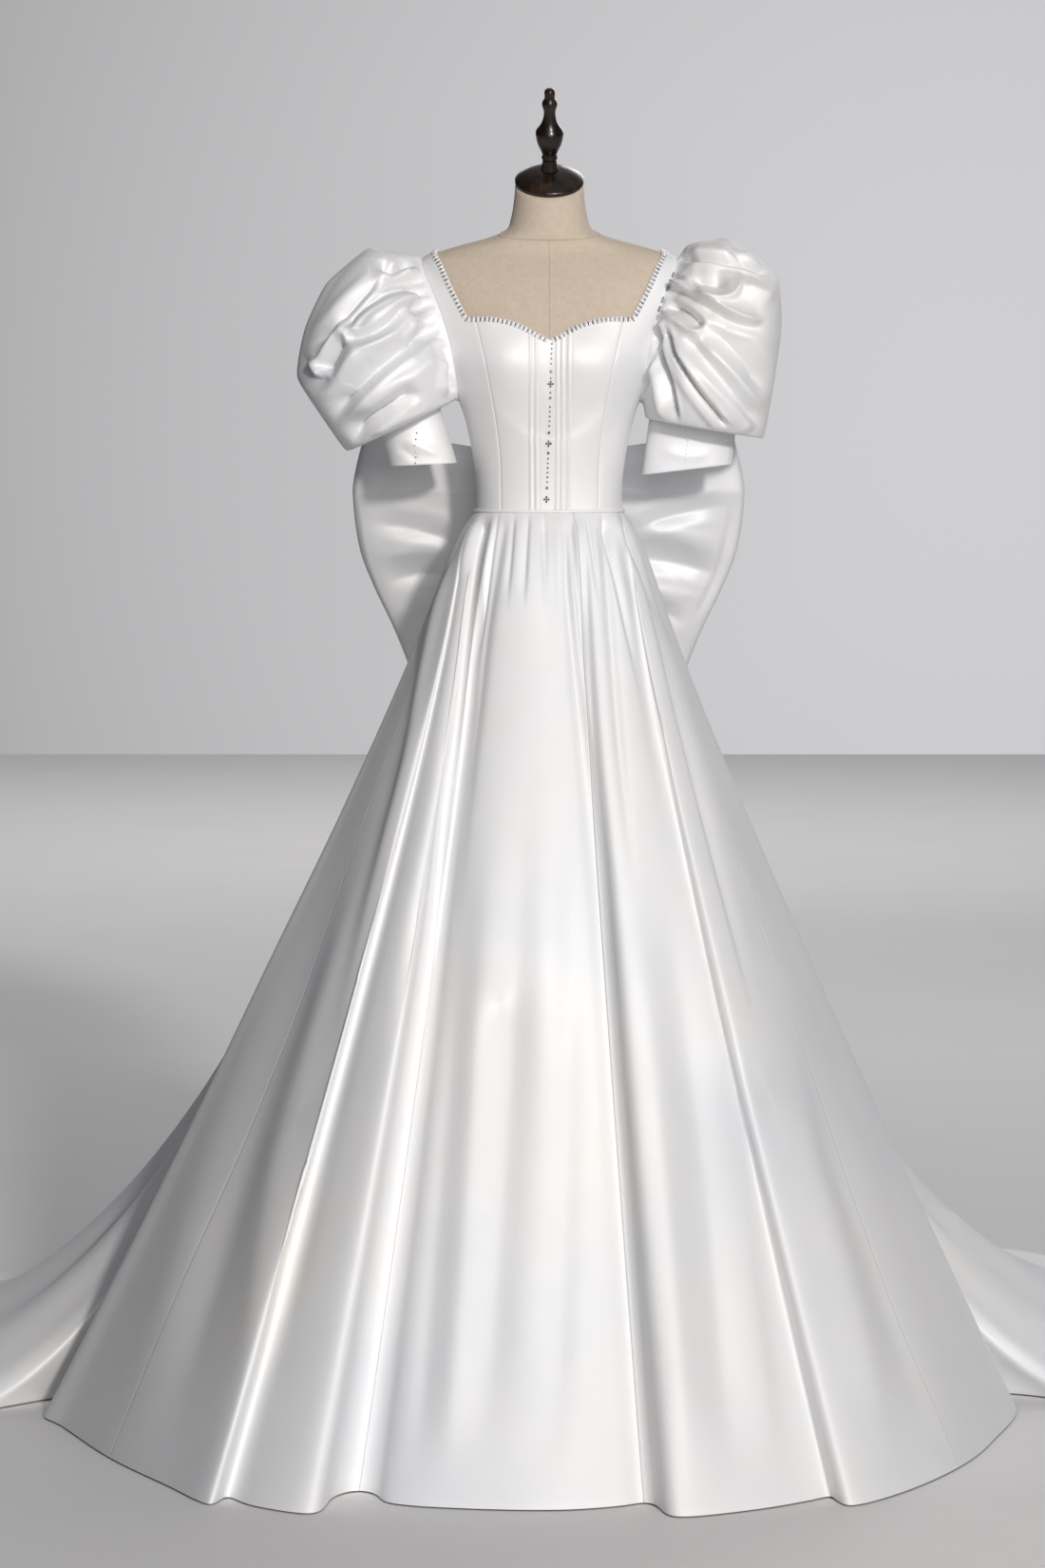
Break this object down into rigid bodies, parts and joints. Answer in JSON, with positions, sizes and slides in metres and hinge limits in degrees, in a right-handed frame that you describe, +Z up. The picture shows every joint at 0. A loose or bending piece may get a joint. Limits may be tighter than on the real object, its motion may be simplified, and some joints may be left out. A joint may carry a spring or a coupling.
{
  "type": "evening gown on a dress form",
  "caption": "Satin prom gown with puffed sleeves, sweetheart bodice, pleated skirt with a fanned train and a large back bow, on a limbless dress form with a wooden finial.",
  "frame": {"origin": "centre of the stand base's underside, on the floor", "axes": "+Z up along the stand's pole, the gown faces -Y, the train lies towards +Y, the wearer's left is +X"},
  "size_m": [2.2994, 2.167, 1.8815],
  "materials": {
    "satin": "white bridal satin with a soft sheen",
    "linen": "plain beige linen cover",
    "dark_wood": "turned wood, dark glossy lacquer",
    "black_metal": "black satin paint"
  },
  "bodies": {
    "root": {"form_torso": "linen", "form_neck_cap": "dark_wood", "form_finial": "dark_wood", "form_pole": "black_metal", "form_base": "black_metal", "bodice_front": "satin", "bodice_side_front_left": "satin", "bodice_side_front_right": "satin", "bodice_back_left": "satin", "bodice_back_right": "satin", "sleeve_left": "satin", "sleeve_right": "satin", "cuff_left": "satin", "cuff_right": "satin", "skirt_front": "satin", "skirt_side_front_left": "satin", "skirt_side_front_right": "satin", "skirt_side_back_left": "satin", "skirt_side_back_right": "satin", "skirt_back_left": "satin", "skirt_back_right": "satin", "bow_loop_left": "satin", "bow_loop_right": "satin", "bow_knot": "satin"}
  },
  "joints": []
}
